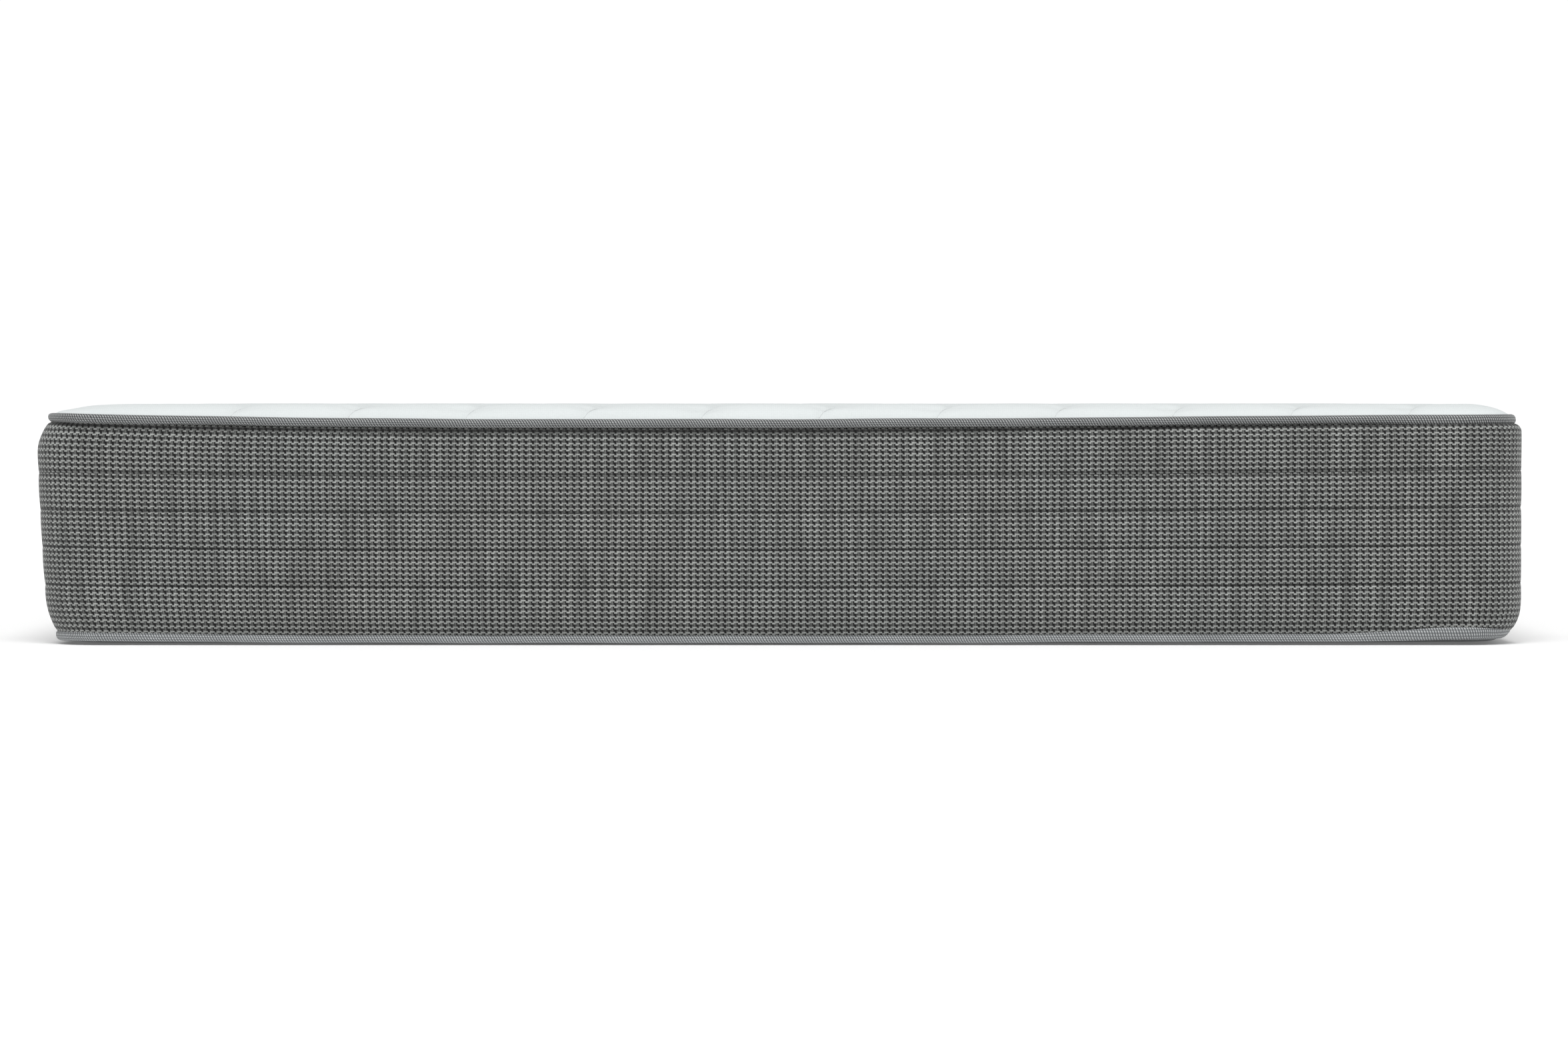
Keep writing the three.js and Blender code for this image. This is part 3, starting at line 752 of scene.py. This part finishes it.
def puffed_pillow():
    """Relief of the top between two quilting lines over one wave, (across, along), 0 at the lines and 1 on
    the plateau: a strip of ticking cut a little full, held along its two stitched edges and pressed up."""
    along = np.arange(-OVERLAP, ALONG - 1 + OVERLAP + 1) * WAVE / (ALONG - 1)
    grid_x, grid_y = np.meshgrid(np.linspace(0, PILLOW_WIDTH, ACROSS), along, indexing="ij")
    inside = np.sin(math.pi * grid_x / PILLOW_WIDTH)
    start = (0.4 + 0.15 * np.sin(2 * math.pi * grid_y / (37 * MM) + 31 * grid_x)) * MM * inside
    strip = np.stack([grid_x + SWING * np.sin(2 * math.pi * grid_y / WAVE), grid_y, start], -1)
    cell = np.arange(grid_x.size).reshape(grid_x.shape)
    quads = np.stack([cell[:-1, :-1], cell[1:, :-1], cell[1:, 1:], cell[:-1, 1:]], -1).reshape(-1, 4)
    mesh = bpy.data.meshes.new("pillow strip")
    mesh.from_pydata(strip.reshape(-1, 3).tolist(), [], quads.tolist())
    cloth = bpy.data.objects.new("pillow strip", mesh)
    bpy.context.scene.collection.objects.link(cloth)
    stitched = cloth.vertex_groups.new(name="stitched")
    stitched.add(np.concatenate([cell[0], cell[-1]]).tolist(), 1.0, "REPLACE")
    settings = cloth.modifiers.new("ticking", "CLOTH").settings
    settings.vertex_group_mass = "stitched"
    settings.quality = 6
    settings.mass = 0.1
    settings.tension_stiffness = settings.compression_stiffness = 15
    settings.shear_stiffness = 5
    settings.bending_stiffness = 0.6
    settings.use_pressure = True
    settings.uniform_pressure_force = 4.0
    settings.shrink_min = -0.014  # cut 1.4% fuller than its space
    settings.effector_weights.gravity = 0
    for step in range(1, 21):
        bpy.context.scene.frame_set(step)
    relaxed = cloth.evaluated_get(bpy.context.evaluated_depsgraph_get()).to_mesh()
    heights = np.empty(len(relaxed.vertices) * 3)
    relaxed.vertices.foreach_get("co", heights)
    bpy.context.scene.frame_set(1)
    bpy.data.objects.remove(cloth)
    bpy.data.meshes.remove(mesh)
    relief = np.maximum(heights[2::3].reshape(grid_x.shape), 0)
    relief = 1 - np.exp(-relief / PLATEAU)
    wave = relief[:, OVERLAP : OVERLAP + ALONG].copy()
    joined = ease(np.arange(OVERLAP), 0, OVERLAP - 1)
    wave[:, :OVERLAP] = joined * wave[:, :OVERLAP] + (1 - joined) * relief[:, -OVERLAP - 1 : -1]
    return wave / np.percentile(wave, 90)


pillow = puffed_pillow()


def look_up(relief, across, along):
    """The relief at places given as shares of its width and of its wave."""
    u, v = across * (ACROSS - 1), along * (ALONG - 1)
    i, j = np.minimum(u.astype(int), ACROSS - 2), np.minimum(v.astype(int), ALONG - 2)
    u, v = u - i, v - j
    near = relief[i, j] * (1 - u) + relief[i + 1, j] * u
    far = relief[i, j + 1] * (1 - u) + relief[i + 1, j + 1] * u
    return near * (1 - v) + far * v


def quilting(x, y):
    """How far the top is drawn down at a place: pillows between its wavy lines, a valley beyond them."""
    place = (x - sway(0 * x, y) - QUILT_LINES[0]) / PILLOW_WIDTH
    between_lines = (place >= 0) & (place < len(QUILT_LINES) - 1)
    across, wave_share = place % 1, (y + HALF_LENGTH) / WAVE
    # every second pillow is the mirror image, half a wave along
    odd = np.floor(place) % 2 == 1
    across = np.where(odd, 1 - across, across)
    relief = look_up(pillow, across, np.where(odd, wave_share + 0.5, wave_share) % 1)
    away = PILLOW_WIDTH * np.maximum(-place, place - len(QUILT_LINES) + 1)
    beyond = 1 - np.exp(-np.maximum(away, 0) / CHANNEL_WIDTH)
    drawn = CHANNEL * (1 - np.where(between_lines, relief, beyond))
    near_end = 1 - 0.3 * ease(np.abs(y), 0.95, 0.99)
    # the cloth is a little loose, in broad waves
    loose = 0.5 * MM * np.sin(9.1 * x + 2.0 * np.sin(5.3 * y)) * np.sin(7.7 * y + 1.4)
    return np.maximum(drawn, -0.2 * MM) * near_end + loose + 0.8 * MM


# columns of the top follow its quilting lines, close together at each valley
valley_steps = np.array([2, 4.5, 7.5, 11.5, 17, 25, 36, 49]) * MM
top_columns = [-STRAIGHT_X, STRAIGHT_X]
top_columns += (-STRAIGHT_X + np.arange(1, 5) * 17 * MM).tolist()
for line in QUILT_LINES:
    top_columns += [line] + (line + valley_steps).tolist() + (line - valley_steps).tolist()
top_columns += [(a + b) / 2 for a, b in zip(QUILT_LINES[:-1], QUILT_LINES[1:])]
top_columns = np.array(sorted(x for x in top_columns if abs(x) <= STRAIGHT_X))
top_rows = evenly(STRAIGHT_Y, COVER_STEP)
top_run = lay_stations(top_columns, top_rows, COVER_CORNER)
CROWN_Z = TOP_SEAM + 3 * MM
RIM_TURN = math.radians(20)  # the top already slopes inwards where it leaves the tape
turns = np.linspace(RIM_TURN, math.pi / 2, 11)


def crown(turn):
    """How far inside the outline the top's crowned edge is, and how high, at a turn from upright."""
    share_in = 1 - np.cos(turn) / math.cos(RIM_TURN)
    share_up = (np.sin(turn) - math.sin(RIM_TURN)) / (1 - math.sin(RIM_TURN))
    return CROWN_START + CROWN_RUN * share_in, CROWN_Z + (HEIGHT - CROWN_Z) * share_up


def valley_share(turn):
    """How much of a quilting valley's depth the crowned edge has at a turn: part of it at the rim."""
    return np.minimum(1, 0.35 + turn)


def swayed(distance, inset):
    """Stations shifted along the foot and head ends, to follow the quilting lines over the crown."""
    centre, out = around(distance)
    shift = sway(centre[:, 0], out[:, 1] * (HALF_LENGTH - inset))
    on_end = np.abs(out[:, 1]) > 0.999999
    return distance - np.where(on_end, out[:, 1] * shift, 0)


def crown_ring(distance, turn, below=0.0):
    """One ring of the top's crowned edge, at a turn from upright."""
    inset, rise = crown(turn)
    centre, out = around(swayed(distance, inset))
    flat = centre + out * (CORNER - inset)
    drawn = quilting(flat[:, 0], flat[:, 1]) * valley_share(turn) + below
    flat = flat - out * (drawn * math.cos(turn))[:, None]
    height = rise - drawn * math.sin(turn)
    return np.concatenate([flat, height[:, None]], -1)


# the cloth's rim goes down into the tape
seam_inset = CROWN_START + 0.5 * MM
rim_insets = [seam_inset + TICKING, seam_inset]
inner_rim, outer_rim = ring_points(top_run, rim_insets, [CROWN_Z - 2.5 * MM] * 2)
rings = [crown_ring(top_run, turn, TICKING) for turn in turns[::-1]] + [inner_rim, outer_rim]
rings += [crown_ring(top_run, turn) for turn in turns]
top_cloth = pad(
    "top_ticking_cloth", slump(np.array(rings)), top_columns, top_rows, COVER_CORNER,
    lambda x, y: HEIGHT - quilting(x, y) - TICKING, lambda x, y: HEIGHT - quilting(x, y),
    ticking_knit, "top_ticking", sway,
)

wadding_rows = evenly(STRAIGHT_Y, 18 * MM)
wadding_run = lay_stations(top_columns, wadding_rows, LAYER_CORNER)
wadding_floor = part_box("top_quilt_foam")[0].z
wadding_gap = TICKING + 2.0 * MM  # from the top's face, so that its coarser mesh stays under the cloth
rim = ring_points(wadding_run, [CORNER, LAYER_RIM], [wadding_floor] * 2)
rings = list(rim) + [crown_ring(wadding_run, turn, wadding_gap) for turn in turns]
top_wadding = pad(
    "top_quilt_wadding", slump(np.array(rings)), top_columns, wadding_rows, LAYER_CORNER,
    lambda x, y: wadding_floor + 0 * x, lambda x, y: HEIGHT - quilting(x, y) - wadding_gap,
    wadding_cells, "top_quilt_foam", sway,
)

flat_columns = evenly(STRAIGHT_X, CORE_STEP)
flat_rows = evenly(STRAIGHT_Y, CORE_STEP)
flat_run = lay_stations(flat_columns, flat_rows, LAYER_CORNER)


def flat_pad(name, rings, bottom, top, material, node):
    """A closed piece across the mattress, flat below and above, from the rings of its edge."""
    return pad(
        name, slump(rings), flat_columns, flat_rows, LAYER_CORNER, lambda x, y: bottom + 0 * x,
        lambda x, y: top + 0 * x, material, node,
    )


def level_layer(name, profile, material, node):
    """A flat layer whose edge follows a profile of (depth inside the outline, height), in millimetres."""
    insets, heights = np.array(profile).T * MM
    rings = ring_points(flat_run, insets, heights)
    return flat_pad(name, rings, heights[0], heights[-1], material, node)


def thin_web(name, rim, node):
    """The non-woven web behind a quilted panel, as thick as its node and ending at the rim."""
    low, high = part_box(node)
    rings = ring_points(flat_run, [CORNER, rim, rim, CORNER], [low.z, low.z, high.z, high.z])
    return flat_pad(name, rings, low.z, high.z, bonded_web, node)


top_backing = thin_web("top_quilt_web", LAYER_RIM, "top_quilt_backing")

# each line's thread, over the foot end's crown, along the level part and over the head end's crown
end_turns = np.radians(np.arange(32, 90, 1.5))
end_inset, end_rise = crown(end_turns)
level_run = np.arange(-STRAIGHT_Y, STRAIGHT_Y, STITCH / 3)
for i, line in enumerate(QUILT_LINES):
    ends = []
    for end in (-1, 1):
        y = end * (HALF_LENGTH - end_inset)
        x = line + sway(0 * y, y)
        rise = 0.25 * MM * stitch_rise(end_turns * 25 * MM)
        drawn = quilting(x, y) * valley_share(end_turns) - rise
        z = end_rise - drawn * np.sin(end_turns)
        ends.append(np.stack([x, y - end * drawn * np.cos(end_turns), z], -1))
    x = line + sway(0 * level_run, level_run)
    z = HEIGHT - quilting(x, level_run) + 0.3 * MM * stitch_rise(level_run) - 0.15 * MM
    path = np.concatenate([ends[0], np.stack([x, level_run, z], -1), ends[1][::-1]])
    tube(
        f"top_quilting_thread_{i + 1:02d}", slump(path), white_sewing_thread,
        f"top_quilt_thread_{i + 1:02d}",
    )

# ---- Underside ----

# from the middle part out along the underside, up round the rim, and back over the upper side
base_profile = [(60, 0.2), (42, 0.2), (33, 0.6), (27, 1.8), (23.5, 3.4), (21.5, 5.2), (22.6, 6.2)]
base_profile += [(25, 4.4), (28, 2.9), (34, 1.8), (42, 1.4), (60, 1.4)]
base_cloth = level_layer("base_cloth_panel", base_profile, base_weave, "bottom_ticking")
wadding_profile = [(60, 1.7), (42, 1.7), (34, 2.2), (29, 3.4), (26.5, 4.8), (28, 5.5), (60, 5.5)]
base_wadding = level_layer("base_wadding", wadding_profile, wadding_cells, "bottom_pad")
base_web = thin_web("base_quilt_web", 27 * MM, "bottom_backing")

# ---- Foam core in its sleeve ----


def core_layer(name, depth, material, node):
    """A block of the core as high as its node, its sides depth behind the border's face."""
    low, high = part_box(node)
    levels = np.linspace(low.z, high.z, max(2, round((high.z - low.z) / (12 * MM))) + 1)
    insets = [depth + tucked_under(flat_run, level) + tucked_over(flat_run, level) for level in levels]
    rings = ring_points(flat_run, [CORNER, *insets, CORNER], [low.z, *levels, high.z])
    return flat_pad(name, rings, low.z, high.z, material, node)


for name, node, material, slot in (
    ("support_foam_core", "support_foam", support_cells, "support_foam"),
    ("transition_foam_layer", "transition_foam", transition_cells, "transition_foam"),
    ("memory_foam_layer", "memory_foam", memory_cells, "memory_foam"),
):
    foam = core_layer(name, 13 * MM, material, node)
sleeve = core_layer("inner_sleeve_knit", 11 * MM, sleeve_weave, "inner_sleeve")
knit = sleeve.modifiers.new("knit thickness", "SOLIDIFY")
knit.thickness = TICKING
knit.offset = -1

low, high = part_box("sleeve_closing_seam")
seam_x = np.arange(low.x, high.x, 2 * MM)
inset = 10.6 * MM - 0.3 * MM * stitch_rise(seam_x)
path = slump(ring_points(HALF_GIRTH - seam_x, [inset], [(low.z + high.z) / 2])[0])
tube("sleeve_closing_stitches", path, white_sewing_thread, "sleeve_closing_seam")
low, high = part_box("border_end_seam")
climb = np.arange(low.z, high.z, 1.5 * MM)
side_step = 1.6 * MM * np.where(np.arange(len(climb)) % 2, 1, -1)
over_seam = border_skin(HALF_GIRTH - END_SEAM_X + side_step, climb, -0.2 * MM)
tube("border_join_stitches", over_seam, grey_sewing_thread, "border_end_seam")

# ---- Stage, light and camera ----

# painted board, matt, that throws back nearly all its light, so the mattress stands on white
material, _, surface = finish("white_studio_floor", 0.9)
surface.inputs["Base Color"].default_value = colour("#f9f9f9")
surface.inputs["Emission Color"].default_value = (1, 1, 1, 1)
surface.inputs["Emission Strength"].default_value = 0.1
mesh = bpy.data.meshes.new("studio_floor")
mesh.from_pydata([(-30, -30, 0), (30, -30, 0), (30, 30, 0), (-30, 30, 0)], [], [(0, 1, 2, 3)])
floor = bpy.data.objects.new("studio_floor", mesh)
bpy.context.scene.collection.objects.link(floor)
mesh.materials.append(material)

# white studio: bright at the foot of its walls, dimmer above, and a large softbox high over the foot end
world = bpy.data.worlds.new("white_studio")
world.use_nodes = True
skyward = add(world.node_tree, "TexCoord").outputs["Generated"]
skyward = add(world.node_tree, "SeparateXYZ", {0: skyward}).outputs["Z"]
glow = add(world.node_tree, "MapRange", {0: skyward, 1: 0.11, 2: 0.22, 3: 1.03, 4: 0.42})
world.node_tree.links.new(glow.outputs[0], world.node_tree.nodes["Background"].inputs["Strength"])
world.node_tree.nodes["Background"].inputs["Color"].default_value = (1, 1, 1, 1)
bpy.context.scene.world = world
lamp = bpy.data.lights.new("overhead_softbox", "SUN")
lamp.energy = 2.25
lamp.angle = math.radians(36)
softbox = bpy.data.objects.new("overhead_softbox", lamp)
softbox.rotation_euler = (math.radians(28), 0, 0)
bpy.context.scene.collection.objects.link(softbox)

# level with the top, square on to the foot end, 6 m off it
lens = bpy.data.cameras.new("front_camera")
lens.lens = 128.6
camera = bpy.data.objects.new("front_camera", lens)
camera.location = (4 * MM, -HALF_LENGTH - 6, HEIGHT)
aim = Vector((4 * MM, -HALF_LENGTH, 132.1 * MM))
camera.rotation_euler = (aim - camera.location).to_track_quat("-Z", "Y").to_euler()
bpy.context.scene.collection.objects.link(camera)
bpy.context.scene.camera = camera
bpy.context.scene.view_settings.view_transform = "Standard"
